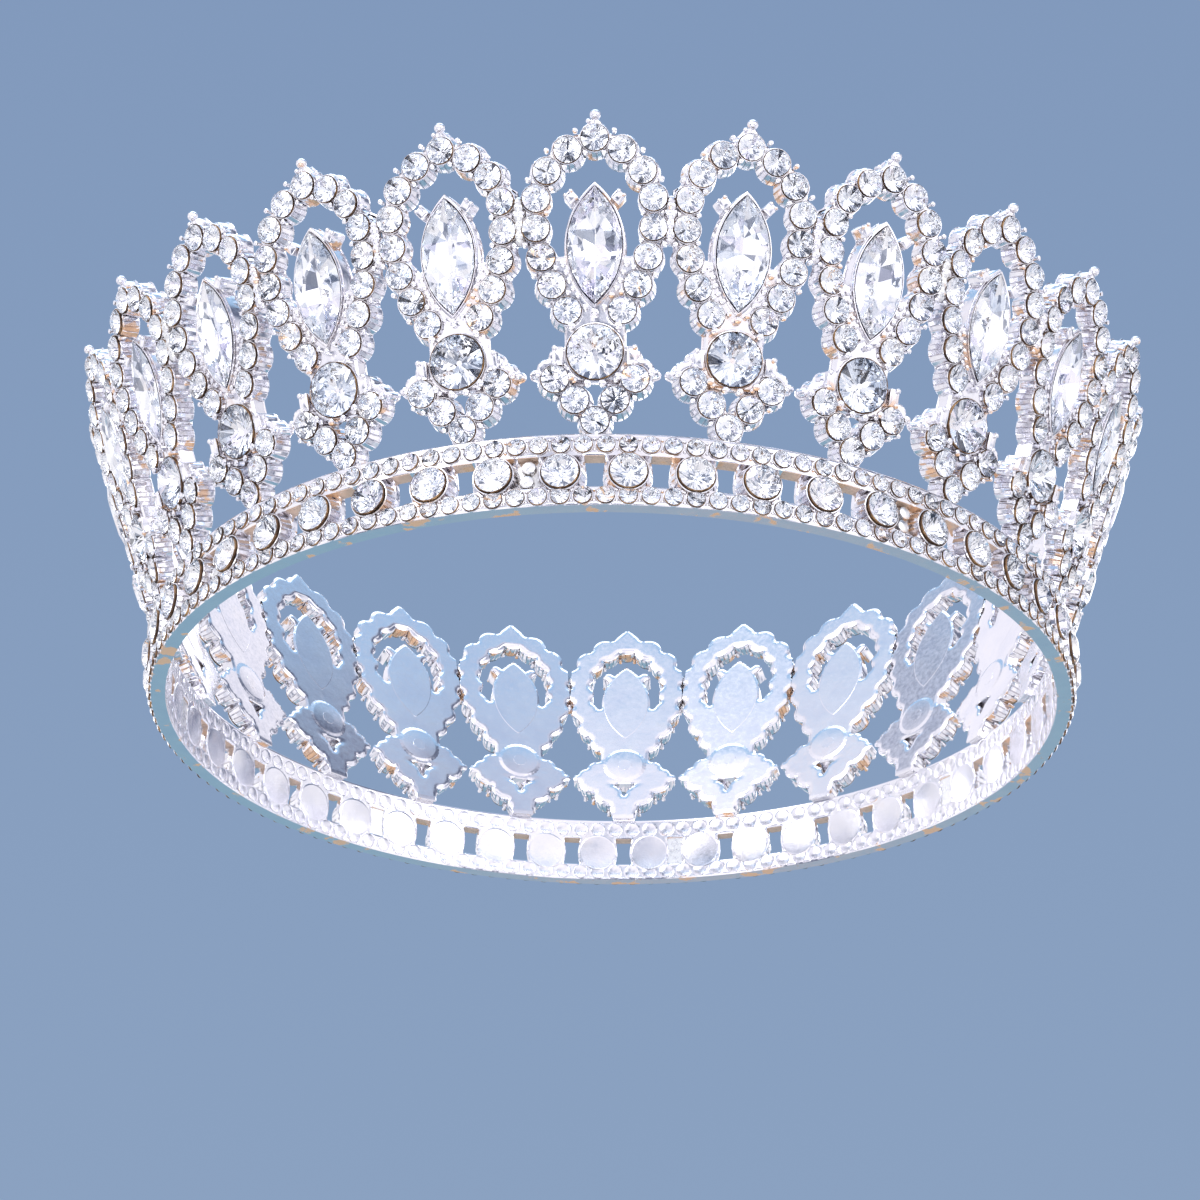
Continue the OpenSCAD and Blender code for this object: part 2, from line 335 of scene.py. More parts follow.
def plate(field, lo, hi, step, z_back, z_front, rnd=0.28, ends=False):
    """A cast plate with softened edges from a distance field, by marching squares. ends closes it square at both x limits."""
    sx, sy = (step, step) if np.isscalar(step) else step
    nx, ny = int(round((hi[0] - lo[0]) / sx)) + 1, int(round((hi[1] - lo[1]) / sy)) + 1
    xs, ys = np.linspace(lo[0], hi[0], nx), np.linspace(lo[1], hi[1], ny)
    g = np.stack(np.meshgrid(xs, ys, indexing="ij"), -1)
    f = field(g)
    f = np.where(np.abs(f) < 1e-4 * sx, 1e-4 * sx, f)
    verts, index = [], {}

    def corner(i, j):
        key = ("c", i, j)
        if key not in index:
            index[key] = len(verts)
            verts.append((xs[i], ys[j], f[i, j]))
        return index[key]

    def edge(i0, j0, i1, j1):
        key = ("e", min((i0, j0), (i1, j1)), max((i0, j0), (i1, j1)))
        if key not in index:
            a, b = f[i0, j0], f[i1, j1]
            t = min(max(a / (a - b), 0.04), 0.96)
            index[key] = len(verts)
            verts.append((xs[i0] + t * (xs[i1] - xs[i0]), ys[j0] + t * (ys[j1] - ys[j0]), 0.0))
        return index[key]

    polys, rim = [], []
    inn = f < 0
    for i in range(nx - 1):
        for j in range(ny - 1):
            c = [(i, j), (i + 1, j), (i + 1, j + 1), (i, j + 1)]
            s = [inn[q] for q in c]
            if not any(s):
                continue
            if all(s):
                polys.append([corner(*q) for q in c])
                continue
            if s[0] == s[2] and s[1] == s[3]:  # saddle: two separate corners
                for k in range(4):
                    if s[k]:
                        a, b = edge(*c[k], *c[(k + 1) % 4]), edge(*c[k - 1], *c[k])
                        polys.append([corner(*c[k]), a, b])
                        rim.append((a, b))
                continue
            poly, cut = [], []
            for k in range(4):
                if s[k]:
                    poly.append(corner(*c[k]))
                if s[k] != s[(k + 1) % 4]:
                    e = edge(*c[k], *c[(k + 1) % 4])
                    cut.append((e, s[k]))
                    poly.append(e)
            polys.append(poly)
            leave = next(e for e, was in cut if was)
            enter = next(e for e, was in cut if not was)
            rim.append((leave, enter))
    v = np.array(verts)
    if ends:
        for p in polys:
            for a, b in zip(p, p[1:] + p[:1], strict=True):
                if v[a, 0] == v[b, 0] and (v[a, 0] == xs[0] or v[a, 0] == xs[-1]):
                    rim.append((a, b))
    depth = np.clip(-v[:, 2], 0, rnd)
    drop = rnd - np.sqrt(np.maximum(rnd * rnd - (rnd - depth) ** 2, 0))
    top = np.c_[v[:, :2], z_front - drop * 0.9]
    bot = np.c_[v[:, :2], z_back + drop * 0.7]
    n = len(v)
    groups = {}
    for p in polys:
        groups.setdefault(len(p), []).append(p)
    faces = []
    for ps in groups.values():
        a = np.array(ps)
        faces.append(a)
        faces.append(a[:, ::-1] + n)
    rim = np.array(rim)
    faces.append(np.c_[rim[:, 1], rim[:, 0], rim[:, 0] + n, rim[:, 1] + n])
    return Part(np.r_[top, bot], faces)


# ---------------------------------------------------------------- one motif's casting
def motif_field(p, seats=True):
    q = p.copy()
    q[..., 0] = np.abs(q[..., 0])  # the motif is the same either side of its centre line
    d = np.full(q.shape[:-1], 1e9)
    pts = [arch_at(i * ARCH_P / 2)[0] for i in range(2 * SIDES + 1)]
    for a, b in zip(pts, pts[1:], strict=False):
        d = np.minimum(d, sd_seg(q, a, b, 1.25))
    for i, x, y in arch_stones():
        if i >= 0:
            _, out = arch_at(i * ARCH_P)
            c = np.array([x, y]) + EDGE * (out if i else np.array([0, 1])) if y > 30 else (x, y)
            d = smin(d, sd_circle(q, c, CUP_D / 2 - 0.02), 0.25)
    m = sd_lens(q, (0, MARQ_V), MARQ_L + 1.3, MARQ_W + 0.65)
    low = sd_poly(q, [(0, 23.2), (5.0, 23.0), (5.6, 22.0), (3.6, 15.4), (3.6, 13), (0, 13)])
    d = smin(d, smin(m, low, 0.3), 0.3)
    d = smin(d, sd_seg(q, (2.3, MARQ_V + 5.5), (3.0, MARQ_V + 6.3), 0.55), 0.2)
    seat = np.maximum(np.abs(q[..., 0]) - 3.75, np.abs(q[..., 1] - ROUND_V) - 3.75)
    seat = smin(seat, sd_seg(q, (3.4, ROUND_V - 0.5), (4.7, ROUND_V - 0.5), 1.15), 0.3)
    d = smin(d, seat, 0.3)
    for i, x, y in vee_stones():
        if i >= 0:
            d = smin(d, sd_circle(q, (x, y), CUP_D / 2 - 0.02), 0.25)
    f0 = np.array([0, FOOT_V])
    far = f0 + 2.6 * VEE_P * np.array([math.cos(VEE_A), math.sin(VEE_A)])
    d = smin(d, sd_seg(q, f0, far * [0.93, 0.98], 1.2), 0.3)
    d = smin(d, sd_seg(q, (5.3, 7.6), (7.7, 7.9), 0.5), 0.3)
    d = smin(d, sd_poly(q, [(0, -0.7), (1.6, -0.7), (1.8, FOOT_V), (0, FOOT_V)]), 0.3)
    # the peak that carries the ball at the apex
    d = smin(d, sd_poly(q, [(0, ARCH_TOP_V + 0.9), (1.7, ARCH_TOP_V + 1.05), (0.32, ARCH_TOP_V + 2.75), (0, ARCH_TOP_V + 2.75)]) - 0.05, 0.15)
    # the small opening inside the vee
    hole = sd_poly(q, [(0, 6.1), (0.85, 6.0), (0.6, 5.1), (0, 4.7)]) - 0.08
    # and the seats, so that no metal stands in the stones
    if seats:
        for _, x, y in arch_stones() + vee_stones():
            hole = np.minimum(hole, sd_circle(q, (abs(x), y), SMALL_D / 2 - 0.1))
        hole = np.minimum(hole, sd_circle(q, (0, ROUND_V), ROUND_D / 2 - 0.1))
        hole = np.minimum(hole, sd_lens(q, (0, MARQ_V), MARQ_L + 0.1, MARQ_W + 0.05))
    return np.maximum(d, -hole)


def small_cup(flare):
    """Ribbed cup whose rim stops just short of the stone's girdle. flare is how far the wall spreads towards the back."""
    r, b = CUP_D / 2, CUP_D / 2 + flare
    prof = [(0, BACK - 0.03), (b - 0.3, BACK - 0.03), (b - 0.07, BACK + 0.1), (b, BACK + 0.32), (r + 0.06 + 0.25 * flare, -1.0), (r + 0.02, -0.42), (r, LIP - 0.07), (r - 0.04, LIP), (r - 0.1, LIP), (r - 0.14, LIP - 0.08), (0.5, -1.75), (0, -1.75)]
    p = lathe(prof, 48, ribs=(18, 0.19, 3, 5))
    p.v[:, 1] -= SKEW * np.clip((-0.4 - p.v[:, 2]) / 2.0, 0, 1)  # the walls run a little downwards to the back
    return p


def motif_metal():
    out = [plate(motif_field, (-9.0, -1.0), (9.0, 42.0), 0.26, BACK, WEB)]
    # the smooth back of the casting, which closes the cups
    out.append(plate(lambda p: motif_field(p, False) - 0.16, (-9.2, -1.2), (9.2, 42.0), 0.4, BACK - 0.1, BACK + 0.3, rnd=0.24))
    wide, slim = small_cup(0.36), small_cup(0.08)
    for i, x, y in arch_stones():
        out.append((slim if abs(i) in (3, 4, 5) else wide).at(T(x, y, 0)))
    for _, x, y in vee_stones():
        out.append(wide.at(T(x, y, 0)))
    # beads between the arch's cups, inside and outside
    for s in (-1, 1):
        for i in range(SIDES):
            c, nrm = arch_at((i + 0.5) * ARCH_P)
            for side, off in ((1, 1.68), (-1, 1.5)):
                if side < 0 and i >= 4:
                    off = 1.35
                b = c + side * off * nrm
                out.append(claw(0.27, WEB - 0.5, LIP + (0.3 if side > 0 else 0.24), s * b[0], b[1], bulge=1.28))
        # and along the vee
        d = np.array([math.cos(VEE_A), math.sin(VEE_A)])
        t = np.array([math.sin(VEE_A), -math.cos(VEE_A)])
        for i, offs in ((0.5, (1.6,)), (1.5, (1.65, -1.6))):
            for o in offs:
                b = np.array([0, FOOT_V]) + i * VEE_P * d + o * t
                out.append(claw(0.27, WEB - 0.5, LIP + 0.3, s * b[0], b[1], bulge=1.25))
        b = np.array([0, FOOT_V]) + 2 * VEE_P * d
        out.append(claw(0.4, WEB - 0.6, LIP + 0.45, s * (b[0] + 2.1), b[1] + 0.7, bulge=1.2))
        out.append(claw(0.27, WEB - 0.5, LIP + 0.3, s * (b[0] + 1.25), b[1] - 1.75, bulge=1.2))
        # block claws either side of the large round stone, each with two ball heads
        out.append(rounded_box(1.4, 2.4, BACK + 0.1, 0.3).at(T(s * 4.7, ROUND_V - 0.55, 0)))
        out.append(ball(0.38, s * 5.05, ROUND_V + 0.45, 0.36))
        out.append(ball(0.38, s * 5.05, ROUND_V - 1.55, 0.36))
        # claws at the corners of its seat, and a pair above the vee's opening
        out.append(claw(0.42, WEB - 0.4, 0.7, s * 2.95, ROUND_V + 3.2, bulge=1.2))
        out.append(claw(0.42, WEB - 0.4, 0.7, s * 3.0, ROUND_V - 3.25, bulge=1.2))
        out.append(claw(0.4, WEB - 0.4, 0.45, s * 0.95, ROUND_V - 4.1, bulge=1.2))
        # lugs at the marquise's shoulders: a small square with two ball tips
        lug = [rounded_box(1.4, 1.5, BACK + 0.2, 0.35, r=0.22), ball(0.3, 0.46, 0.6, 0.34), ball(0.3, -0.4, 0.62, 0.32)]
        out += moved(lug, T(s * 3.0, MARQ_V + 6.15, 0) @ R(-s * 40, "Z"))
    for s in (-1, 1):
        for x, y, rr in ((4.02, 22.0, 0.36), (3.62, 20.9, 0.3), (3.25, 19.85, 0.34), (2.75, 18.85, 0.3), (2.12, 17.95, 0.34)):
            out.append(claw(rr, WEB - 0.4, -0.05, s * x, y, bulge=1.2))
    # big cup
    r = ROUND_D / 2
    prof = [(0, BACK - 0.22), (r - 0.75, BACK - 0.22), (r - 0.6, BACK - 0.21), (r - 0.35, BACK - 0.15), (r - 0.02, BACK - 0.1), (r + 0.22, -1.3), (r + 0.26, -0.5), (r + 0.26, -0.28), (r + 0.22, -0.2), (r + 0.14, -0.19), (r + 0.1, -0.28), (0.3 * r, -2.85), (0, -2.85)]
    out.append(lathe(prof, 72, ribs=(28, 0.14, 4, 6)).at(T(0, ROUND_V, 0)))
    # marquise bezel: a thin wall standing on a wider foot
    rs = []
    for dw, dl, z in ((0.14, 0.26, BACK - 0.12), (0.2, 0.4, BACK - 0.12), (0.5, 0.9, BACK - 0.05), (0.6, 1.15, BACK + 0.2), (0.72, 1.4, WEB + 0.05), (0.74, 1.42, -0.5), (0.68, 1.3, -0.42), (0.5, 0.92, -0.4), (0.44, 0.84, -0.1), (0.36, 0.68, 0.0), (0.2, 0.4, 0.0), (0.08, 0.16, -0.08), (0.05, 0.1, -0.24), (-3.4, -7.5, -2.1), (-5.8, -12.0, -2.2)):
        rs.append(lens_ring(MARQ_L + dl, MARQ_W + dw, 72, z))
    out.append(rings_part(rs).at(T(0, MARQ_V, 0)))
    # claws between the marquise's foot and the large round stone
    out.append(claw(0.42, WEB - 0.4, 0.5, 0, MARQ_V - MARQ_L / 2 - 1.15, bulge=1.15))
    for s in (-1, 1):
        out.append(claw(0.32, WEB - 0.4, 0.35, s * 1.2, MARQ_V - MARQ_L / 2 - 0.45, bulge=1.15))
    # ball at the apex, and a smaller one on the peak's left shoulder
    stem = lathe([(0, 0), (0.52, 0), (0.45, 0.5), (0.36, 0.9), (0, 1.1)], 12)
    out.append(stem.at(T(0, ARCH_TOP_V + 1.75, -0.85) @ R(-90, "X")))
    out.append(ball(0.7, 0.05, ARCH_TOP_V + 3.1, -0.6, n=20))
    out.append(ball(0.34, -0.82, ARCH_TOP_V + 2.3, -0.6))
    return out


# ---------------------------------------------------------------- one motif's share of the band
def arc_solid(section, a0, a1, n, hole=None):
    """Sweeps a closed (r, z) section round the axis between two azimuths, in degrees."""
    rings = []
    for a in np.linspace(math.radians(a0), math.radians(a1), n + 1):
        rings.append(np.array([(r * math.sin(a), -r * math.cos(a), z) for r, z in section]))
    return rings_part(rings)


SPAN = math.radians(PITCH) * BAND_R  # arc length of one motif's share of the band


def band_field(p):
    """The band's wall unrolled: x along the arc from a motif's centre line, y up."""
    d = np.abs(p[..., 1] - BAND_H / 2) - BAND_H / 2
    u = np.abs((p[..., 0] + SPAN / 2) % SPAN - SPAN / 2)
    t, zc = np.minimum(u, SPAN / 2 - u), RAIL_LO + SLOT_H / 2
    h = np.clip(np.abs(p[..., 1] - zc) / (SLOT_H / 2), 0, 1)
    slot = np.maximum(t - (SLOT_W / 2 - 0.05 + 0.3 * h * h), np.abs(p[..., 1] - zc) - SLOT_H / 2)
    q = np.stack([u, p[..., 1]], -1)
    hole = np.minimum(slot, sd_circle(q, (SPAN / 4, CUP_Z), BAND_D / 2 - 0.05))
    for j in (1, 3, 5):
        for z in (LO_Z, UP_Z):
            hole = np.minimum(hole, sd_circle(q, (j * SPAN / 12, z), RAIL_D / 2 - 0.15))
    return np.maximum(d, -hole)


def band_wall():
    """One segment's wall, bent round the ring, from -22.5 to 22.5 degrees."""
    w = PER_SEG * SPAN / 2
    e = BAND_H / 42  # rows lie on both edges, which keeps those straight
    p = plate(band_field, (-w, -e), (w, BAND_H + e), (0.25, e), -BAND_T, 0.0, rnd=0.13, ends=True)
    half = len(p.v) // 2  # the front between the rails lies back, so that the cups stand free there
    z = p.v[:half, 1]
    p.v[:half, 2] -= 1.15 * ((z > RAIL_LO + 0.06) & (z < RAIL_LO + SLOT_H - 0.06))
    a, r = p.v[:, 0] / BAND_R, BAND_R + p.v[:, 2]
    p.v = np.c_[r * np.sin(a), -r * np.cos(a), p.v[:, 1]]
    return p


def band_sector():
    """15 degrees of what stands on the band's wall about azimuth 0: cups, rims of the rail stones, beads, round backs."""
    out = []
    ro, ri = BAND_R, BAND_R - BAND_T
    # ribbed cups
    r1, r2, dep = 3.16, 2.7, CUP_OUT - CUP_IN
    rim = BAND_D / 2
    prof = [(0, 0.22), (r1 - 0.5, 0.22), (r1 - 0.2, 0.25), (r1 - 0.04, 0.36), (r1, 0.7), (r1 - 0.08, 1.3), (r2 + 0.12, dep - 0.75), (r2 + 0.02, dep - 0.4), (r2, dep - 0.24), (r2 - 0.05, dep - 0.17), (r2 - 0.16, dep - 0.16), (r2 - 0.22, dep - 0.26), (0.3 * rim, dep - 2.35), (0, dep - 2.35)]
    cup = lathe(prof, 72, ribs=(22, 0.2, 4, 7))
    for c in (-0.25, 0.25):
        out.append(cup.at(band_place(c, CUP_Z, CUP_IN)))
    # thin rims round the rail stones, with round backs on the inner face
    rr = RAIL_D / 2
    collar = lathe([(0, -1.1), (rr + 0.02, -1.1), (rr + 0.12, -0.9), (rr + 0.13, -0.02), (rr + 0.12, 0.03), (rr + 0.08, 0.05), (rr + 0.05, 0.0), (0.3 * rr, -0.9), (0, -0.9)], 28)
    disc = lathe([(0, 0.15), (1.12, 0.15), (1.08, -0.02), (1.0, -0.05), (0, -0.05)], 20)
    for j in range(6):
        k = (j - 2.5) / 6
        for z in (LO_Z, UP_Z):
            out.append(collar.at(band_place(k, z, BAND_R)))
            out.append(disc.at(band_place(k, z, ri)))
        kk = (j - 3) / 6
        # beads between the rail stones
        for z in (LO_Z - 0.72, LO_Z + 0.72, UP_Z - 0.72, UP_Z + 0.72):
            out.append(ball(0.22, 0, 0, 0.04, n=10).at(band_place(kk, z, BAND_R)))
    # slot ceilings in a pinkish-brown material: painted reflection of a warm surround, and painted shade in the recess
    for kk in (-0.5, 0, 0.5):
        lo_, hi_ = (0, 0.5) if kk == -0.5 else (-0.5, 0) if kk == 0.5 else (-0.5, 0.5)
        w = math.degrees((SLOT_W + 0.5) / ro)
        z = RAIL_LO + SLOT_H
        out.append(arc_solid([(ri + 0.1, z - 0.03), (ro - 0.1, z - 0.03), (ro - 0.1, z + 0.2), (ri + 0.1, z + 0.2)], kk * PITCH + lo_ * w, kk * PITCH + hi_ * w, 3))
        out[-1].mat = 1
    return out


# ---------------------------------------------------------------- cut stones
def edge_ring(r, thick, z0, z1, n=24):
    """Thin lacquered ring round a stone's foil, just below its girdle."""
    prof = [(r + 0.008, z0), (r + thick, z0), (r + thick, z1 - 0.03), (r + thick * 0.6, z1), (r + 0.008, z1)]
    a = 2 * math.pi * np.arange(n) / n
    v = np.concatenate([np.c_[pr * np.cos(a), pr * np.sin(a), np.full(n, pz)] for pr, pz in prof])
    i, j, m = np.arange(n), (np.arange(n) + 1) % n, len(prof)
    return Part(v, [np.concatenate([np.c_[k * n + i, k * n + j, ((k + 1) % m) * n + j, ((k + 1) % m) * n + i] for k in range(m)])], 2, True)


def cut_stone(d, depth, crown, table=0.56, n=8, lower=True, lens=None, girdle=0.1, skirt=0.25, keel=0.0):
    """A brilliant cut: table, star, kite and half facets over a girdle, mirror-backed mains below.
    Materials: 0 crystal, 1 foil seen through it."""
    r = d / 2

    def at(rad, ang, z):
        if lens is None:
            return (rad * r * math.cos(ang), rad * r * math.sin(ang), z)
        ln, w = lens
        rr = (ln * ln + w * w) / (4 * w)
        c = rr - w / 2
        # the ray at this angle meets the pointed oval here; the angle is spread so that points reach the tips
        a = math.atan2(math.sin(ang) * 0.62 * ln / w, math.cos(ang))
        ux, uy = math.cos(a), math.sin(a)
        b = -c * abs(ux) + math.sqrt(max(c * c * ux * ux - (c * c - rr * rr), 0))
        return (rad * b * ux, rad * b * uy, z)

    st = 2 * math.pi / n
    star_r = 0.76
    star_h = (1 - star_r * math.cos(st / 2)) / (1 - table)
    v, polys = [], {}

    def ring(rad, off, z, cnt=n):
        k = len(v)
        for i in range(cnt):
            v.append(at(rad, (i + off) * 2 * math.pi / cnt, z))
        return [k + i for i in range(cnt)]

    def add(idx, mat):
        polys.setdefault(len(idx), []).append((idx, mat))

    t = ring(table, 0, crown)
    s_ = ring(star_r, 0.5, girdle + (crown - girdle) * star_h)
    g = ring(1.0, 0, girdle, 2 * n)
    gl = ring(0.998, 0, girdle - 0.07, 2 * n)
    lk = ring(0.985, 0, girdle - skirt - 0.07, 2 * n)
    ctr = len(v)
    v.append((0, 0, crown))
    for i in range(n):
        j = (i + 1) % n
        add([ctr, t[i], t[j]], 0)
        add([t[i], s_[i], t[j]], 0)
        add([t[i], s_[i - 1], g[2 * i], s_[i]], 0)
        add([s_[i], g[2 * i], g[2 * i + 1]], 0)
        add([s_[i], g[2 * i + 1], g[(2 * i + 2) % (2 * n)]], 0)
    for i in range(2 * n):
        j = (i + 1) % (2 * n)
        add([g[i], gl[i], gl[j], g[j]], 0)
        add([gl[i], lk[i], lk[j], gl[j]], 1)
    # pavilion: halves below the girdle and long mains to the culet
    zl = girdle - skirt - 0.07
    if not keel:
        cu = len(v)
        v.append((0, 0, -depth))
    if keel:
        # long facets down to a keel along the stone's length
        ys, lo = {}, []
        for i in range(n):
            y = at(keel, i * st, 0)[1]
            if round(y, 4) not in ys:
                ys[round(y, 4)] = len(v)
                v.append((0, y, -depth + 0.35 * depth * abs(y) / (lens[0] / 2)))
            lo.append(ys[round(y, 4)])
        for i in range(n):
            j = (i + 1) % n
            add([lo[i], lk[2 * i], lk[2 * i + 1]], 1)
            add([lo[j], lk[2 * i + 1], lk[(2 * i + 2) % (2 * n)]], 1)
            add([lo[i], lk[2 * i + 1], lo[j]], 1)
    elif lower:
        lo_r = 0.24
        lo = ring(lo_r, 0.5, zl - (depth + zl) * (1 - lo_r * math.cos(st / 2)))
        for i in range(n):
            add([cu, lo[i - 1], lk[2 * i], lo[i]], 1)
            add([lo[i], lk[2 * i], lk[2 * i + 1]], 1)
            add([lo[i], lk[2 * i + 1], lk[(2 * i + 2) % (2 * n)]], 1)
    else:
        for i in range(2 * n):
            add([cu, lk[i], lk[(i + 1) % (2 * n)]], 1)
    faces, mats = [], []
    for k in sorted(polys):
        faces.append(np.array([p[0] for p in polys[k]]))
        mats += [p[1] for p in polys[k]]
    return Part(v, faces, np.array(mats), False)


RNG = np.random.default_rng(41)
# painted reflections: each foil facet's colour stands in for what it throws back: whites, cool greys, a little lilac
# and warm, and now and then near black
TINTS = np.array([(1, 1, 1), (0.97, 0.98, 1), (0.88, 0.91, 0.95), (0.72, 0.77, 0.84), (0.95, 0.92, 1), (1, 0.95, 0.91), (0.42, 0.46, 0.53), (0.08, 0.09, 0.12), (0.95, 0.65, 0.42)])
ODDS = np.array([70, 12, 7, 4, 4, 2, 2.6, 3.4, 0.4])
ODDS = ODDS / ODDS.sum()
LARGE = np.array([70, 12, 7, 4, 9, 4, 0.4, 0.0, 0.3])
LARGE = LARGE / LARGE.sum()
ROUND = np.array([52, 10, 12, 9, 4, 2, 6, 6, 0.4])
ROUND = ROUND / ROUND.sum()


def with_tint(p, odds=ODDS):
    q = Part.__new__(Part)
    q.v, q.faces, q.mat, q.smooth = p.v, p.faces, p.mat, p.smooth
    n = sum(len(f) for f in p.faces)
    q.tint = TINTS[RNG.choice(len(TINTS), n, p=odds)] * RNG.uniform(0.92, 1.0, (n, 1))
    return q


def spun(pair, tilt=1.6, odds=ODDS):
    """Each stone sits at its own turn and a hair off level."""
    a, b, c = RNG.uniform(0, 360), RNG.normal(0, tilt), RNG.normal(0, tilt)
    m = R(b, "X") @ R(c, "Y") @ R(a, "Z")
    return [with_tint(pair[0].at(m), odds)] + [p.at(m) for p in pair[1:]]


# ---------------------------------------------------------------- materials
def nodes_of(name):
    m = bpy.data.materials.new(name)
    m.use_nodes = True
    nt = m.node_tree
    for x in list(nt.nodes):
        nt.nodes.remove(x)
    out = nt.nodes.new("ShaderNodeOutputMaterial")
    bs = nt.nodes.new("ShaderNodeBsdfPrincipled")
    nt.links.new(bs.outputs[0], out.inputs[0])
    return m, nt, bs


def ramp(nt, src, stops):
    r = nt.nodes.new("ShaderNodeValToRGB")
    el = r.color_ramp.elements
    while len(el) < len(stops):
        el.new(0.5)
    for e, (p, c) in zip(el, stops, strict=True):
        e.position = p
        e.color = (*c, 1) if len(c) == 3 else c
    nt.links.new(src, r.inputs[0])
    return r.outputs[0]


def noise(nt, scale, detail=3.0, rough=0.55):
    tc = nt.nodes.new("ShaderNodeTexCoord")
    n = nt.nodes.new("ShaderNodeTexNoise")
    n.inputs["Scale"].default_value = scale
    n.inputs["Detail"].default_value = detail
    n.inputs["Roughness"].default_value = rough
    nt.links.new(tc.outputs["Object"], n.inputs["Vector"])
    return n.outputs[0]


def mixc(nt, fac, a, b, mode="MIX"):
    m = nt.nodes.new("ShaderNodeMix")
    m.data_type = "RGBA"
    m.blend_type = mode
    for sock, val in ((m.inputs[0], fac), (m.inputs[6], a), (m.inputs[7], b)):
        if hasattr(val, "is_linked") or hasattr(val, "node"):
            nt.links.new(val, sock)
        else:
            sock.default_value = val if not isinstance(val, tuple) or len(val) == 4 else (*val, 1)
    return m.outputs[2]


def unit(nt, src, a, b):
    n = nt.nodes.new("ShaderNodeMapRange")
    n.inputs[1].default_value, n.inputs[2].default_value = a, b
    nt.links.new(src, n.inputs[0])
    return n.outputs[0]


def plated(name, base, crevice_shade, warm, rough=(0.08, 0.24), bump=0.12, stand_reflection=(0.86, 0.55, 0.34), metal=1.0):
    m, nt, bs = nodes_of(name)
    big, fine = noise(nt, 260.0, 3.0), noise(nt, 1500.0, 4.0)
    # painted shade: the colour runs down to the darker shade colour wherever the AO node finds geometry close by, in
    # crevices, recesses and between parts
    ao = nt.nodes.new("ShaderNodeAmbientOcclusion")
    ao.inputs["Distance"].default_value = 0.0009
    ao.samples = 6
    shade = ramp(nt, ao.outputs["AO"], [(0.0, crevice_shade), (0.45, tuple(0.86 * c for c in base)), (0.8, base)])
    patch = ramp(nt, big, [(0.3, (0.93, 0.94, 0.97)), (0.62, (1, 1, 1)), (0.8, warm)])
    col = mixc(nt, 1.0, shade, patch, "MULTIPLY")
    # painted reflection: a few downward-facing places turn warm gold and less metallic, standing in for a warm surround
    # mirrored there
    geo, sep = nt.nodes.new("ShaderNodeNewGeometry"), nt.nodes.new("ShaderNodeSeparateXYZ")
    nt.links.new(geo.outputs["Normal"], sep.inputs[0])
    under = ramp(nt, unit(nt, sep.outputs[2], 0.0, -0.9), [(0.25, (0, 0, 0)), (0.7, (1, 1, 1))])
    reflection_noise = ramp(nt, noise(nt, 240.0, 3.0), [(0.575, (0, 0, 0)), (0.615, (1, 1, 1))])
    reflection_mask = mixc(nt, 1.0, under, reflection_noise, "MULTIPLY")
    bw = nt.nodes.new("ShaderNodeRGBToBW")
    nt.links.new(reflection_mask, bw.inputs[0])
    col = mixc(nt, bw.outputs[0], col, stand_reflection)
    nt.links.new(col, bs.inputs["Base Color"])
    nt.links.new(ramp(nt, bw.outputs[0], [(0.0, (metal,) * 3), (1.0, (0.35,) * 3)]), bs.inputs["Metallic"])
    nt.links.new(ramp(nt, fine, [(0.25, (rough[0],) * 3), (0.75, (rough[1],) * 3)]), bs.inputs["Roughness"])
    b = nt.nodes.new("ShaderNodeBump")
    b.inputs["Strength"].default_value = bump
    b.inputs["Distance"].default_value = 0.00012
    nt.links.new(big, b.inputs["Height"])
    nt.links.new(b.outputs[0], bs.inputs["Normal"])
    return m


silver = plated("silver_plate", (0.905, 0.895, 0.925), (0.5, 0.455, 0.45), (1.0, 0.98, 0.95))
solder = plated("solder_plate", (0.86, 0.86, 0.85), (0.45, 0.4, 0.36), (1.0, 0.96, 0.88), rough=(0.2, 0.4), bump=0.35)
# painted reflection and painted shade: the pinkish-brown lining of the slot ceilings
ceiling_reflection = plated("ceiling_reflection", (0.76, 0.56, 0.42), (0.44, 0.27, 0.18), (0.92, 0.8, 0.66), rough=(0.2, 0.45), bump=0.4, metal=0.2)


def crystal_material():
    m, nt, bs = nodes_of("crystal")
    bs.inputs["Base Color"].default_value = (0.998, 0.999, 1.0, 1)
    bs.inputs["Transmission Weight"].default_value = 1.0
    bs.inputs["IOR"].default_value = 1.56
    bs.inputs["Metallic"].default_value = 0.0
    n = noise(nt, 900.0, 2.0)
    nt.links.new(ramp(nt, n, [(0.55, (0.0,) * 3), (0.8, (0.035,) * 3)]), bs.inputs["Roughness"])
    return m


def foil_material():
    m, nt, bs = nodes_of("foil")
    # painted reflections: the per-facet tint stands in for what the mirror foil shows through the crown
    at = nt.nodes.new("ShaderNodeAttribute")
    at.attribute_name = "tint"
    n = ramp(nt, noise(nt, 700.0, 2.0), [(0.35, (0.93, 0.95, 0.98)), (0.65, (1, 1, 1))])
    nt.links.new(mixc(nt, 1.0, at.outputs["Color"], n, "MULTIPLY"), bs.inputs["Base Color"])
    bs.inputs["Metallic"].default_value = 1.0
    bs.inputs["Roughness"].default_value = 0.04
    return m


def edge_material():
    m, nt, bs = nodes_of("foil_edge")
    col = ramp(nt, noise(nt, 500.0, 2.0), [(0.3, (0.05, 0.03, 0.02)), (0.5, (0.16, 0.09, 0.05)), (0.7, (0.5, 0.3, 0.14))])
    nt.links.new(col, bs.inputs["Base Color"])
    bs.inputs["Metallic"].default_value = 0.6
    bs.inputs["Roughness"].default_value = 0.35
    return m


crystal, foil, edge = crystal_material(), foil_material(), edge_material()
STONE_MATS = [crystal, foil, edge]

# ---------------------------------------------------------------- castings
metal_sector = motif_metal()
metal_sector = [p.at(motif_place(0)) for p in metal_sector]
beads = band_sector()
wall = band_wall()


